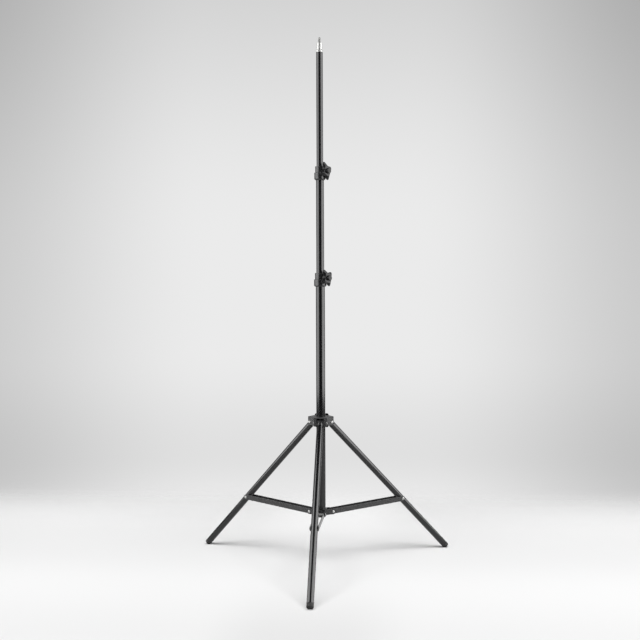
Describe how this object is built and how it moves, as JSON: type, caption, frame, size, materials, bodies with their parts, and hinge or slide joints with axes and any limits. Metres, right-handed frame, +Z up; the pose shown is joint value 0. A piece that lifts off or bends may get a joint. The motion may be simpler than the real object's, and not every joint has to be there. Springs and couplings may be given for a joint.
{
  "type": "ring light stand",
  "caption": "Folding floor stand for a ring light: a telescoping tube mast held by clamp knobs, spread legs on a sliding collar with flat braces, and a threaded spigot on top.",
  "frame": {"origin": "on the floor, at the middle of the box round the feet; the mast's axis stands 88.6 mm behind it, at x = 0", "axes": "+Z up the mast; -Y towards the front leg; +X to the right, seen from the front"},
  "size_m": [0.6322, 0.5498, 1.2718],
  "materials": {
    "tube_paint": "black semi-gloss paint",
    "strap_paint": "black satin paint on flat steel strap",
    "moulded_plastic": "dark grey moulded plastic with a fine grain",
    "knob_plastic": "black moulded plastic, slightly rough",
    "foot_rubber": "matt black rubber",
    "bright_steel": "bright plated steel",
    "pad_brass": "plain brass"
  },
  "bodies": {
    "base": {"base_tube": "tube_paint", "base_plug": "moulded_plastic", "spider": "moulded_plastic", "spider_rivet_1": "bright_steel", "spider_rivet_2": "bright_steel", "spider_rivet_3": "bright_steel", "lower_collar": "moulded_plastic", "lower_clamp_pad": "pad_brass"},
    "lower_knob": {"lower_knob": "knob_plastic", "lower_screw": "bright_steel"},
    "middle_section": {"middle_tube": "tube_paint", "middle_guide": "moulded_plastic", "upper_collar": "moulded_plastic", "upper_clamp_pad": "pad_brass"},
    "upper_knob": {"upper_knob": "knob_plastic", "upper_screw": "bright_steel"},
    "top_section": {"top_tube": "tube_paint", "top_guide": "moulded_plastic", "spigot": "bright_steel"},
    "leg_collar": {"leg_collar": "moulded_plastic", "leg_rivet_1": "bright_steel", "leg_rivet_2": "bright_steel", "leg_rivet_3": "bright_steel", "leg_collar_pad": "pad_brass"},
    "leg_collar_knob": {"leg_collar_knob": "knob_plastic", "leg_collar_screw": "bright_steel"},
    "leg_1": {"leg_tube_1": "tube_paint", "leg_knuckle_1": "moulded_plastic", "foot_cap_1": "foot_rubber"},
    "leg_2": {"leg_tube_2": "tube_paint", "leg_knuckle_2": "moulded_plastic", "foot_cap_2": "foot_rubber"},
    "leg_3": {"leg_tube_3": "tube_paint", "leg_knuckle_3": "moulded_plastic", "foot_cap_3": "foot_rubber"},
    "brace_1": {"brace_strap_1_right": "strap_paint", "brace_strap_1_left": "strap_paint", "brace_rivet_1_right": "bright_steel", "brace_rivet_1_left": "bright_steel"},
    "brace_2": {"brace_strap_2_right": "strap_paint", "brace_strap_2_left": "strap_paint", "brace_rivet_2_right": "bright_steel", "brace_rivet_2_left": "bright_steel"},
    "brace_3": {"brace_strap_3_right": "strap_paint", "brace_strap_3_left": "strap_paint", "brace_rivet_3_right": "bright_steel", "brace_rivet_3_left": "bright_steel"}
  },
  "joints": [
    {"name": "middle_slide", "type": "slide", "parent": "base", "child": "middle_section", "axis": [0, 0, 1], "range_m": [-0.21, 0.24]},
    {"name": "top_slide", "type": "slide", "parent": "middle_section", "child": "top_section", "axis": [0, 0, 1], "range_m": [-0.268, 0.19]},
    {"name": "leg_collar_slide", "type": "slide", "parent": "base", "child": "leg_collar", "axis": [0, 0, 1], "range_m": [0, 0.2675]},
    {"name": "lower_knob_turn", "type": "hinge", "parent": "base", "child": "lower_knob", "pos_m": [0, 0.08863, 0.6974], "axis": [0.829, -0.5592, 0], "range_deg": [0, 360]},
    {"name": "upper_knob_turn", "type": "hinge", "parent": "middle_section", "child": "upper_knob", "pos_m": [0, 0.08863, 0.9534], "axis": [0.829, -0.5592, 0], "range_deg": [0, 360]},
    {"name": "leg_collar_knob_turn", "type": "hinge", "parent": "leg_collar", "child": "leg_collar_knob", "pos_m": [0, 0.08863, 0.34841], "axis": [0, 1, 0], "range_deg": [0, 360]},
    {"name": "leg_1_hinge", "type": "hinge", "parent": "leg_collar", "child": "leg_1", "pos_m": [0, 0.06613, 0.34841], "axis": [1, 0, 0], "range_deg": [0, 41.1]},
    {"name": "leg_2_hinge", "type": "hinge", "parent": "leg_collar", "child": "leg_2", "pos_m": [0.01949, 0.09988, 0.34841], "axis": [-0.5, 0.866, 0], "range_deg": [0, 41.1]},
    {"name": "leg_3_hinge", "type": "hinge", "parent": "leg_collar", "child": "leg_3", "pos_m": [-0.01949, 0.09988, 0.34841], "axis": [-0.5, -0.866, 0], "range_deg": [0, 41.1]},
    {"name": "brace_1_hinge", "type": "hinge", "parent": "base", "child": "brace_1", "pos_m": [0, 0.06163, 0.1284], "axis": [-1, 0, 0], "range_deg": [0, 83]},
    {"name": "brace_2_hinge", "type": "hinge", "parent": "base", "child": "brace_2", "pos_m": [0.02338, 0.10213, 0.1284], "axis": [0.5, -0.866, 0], "range_deg": [0, 83]},
    {"name": "brace_3_hinge", "type": "hinge", "parent": "base", "child": "brace_3", "pos_m": [-0.02338, 0.10213, 0.1284], "axis": [0.5, 0.866, 0], "range_deg": [0, 83]}
  ],
  "couplings": [
    {"joint": "leg_1_hinge", "follows": "leg_collar_slide", "rad_per_m": 2.6754},
    {"joint": "leg_2_hinge", "follows": "leg_collar_slide", "rad_per_m": 2.6754},
    {"joint": "leg_3_hinge", "follows": "leg_collar_slide", "rad_per_m": 2.6754},
    {"joint": "brace_1_hinge", "follows": "leg_collar_slide", "rad_per_m": 5.4074},
    {"joint": "brace_2_hinge", "follows": "leg_collar_slide", "rad_per_m": 5.4074},
    {"joint": "brace_3_hinge", "follows": "leg_collar_slide", "rad_per_m": 5.4074}
  ]
}
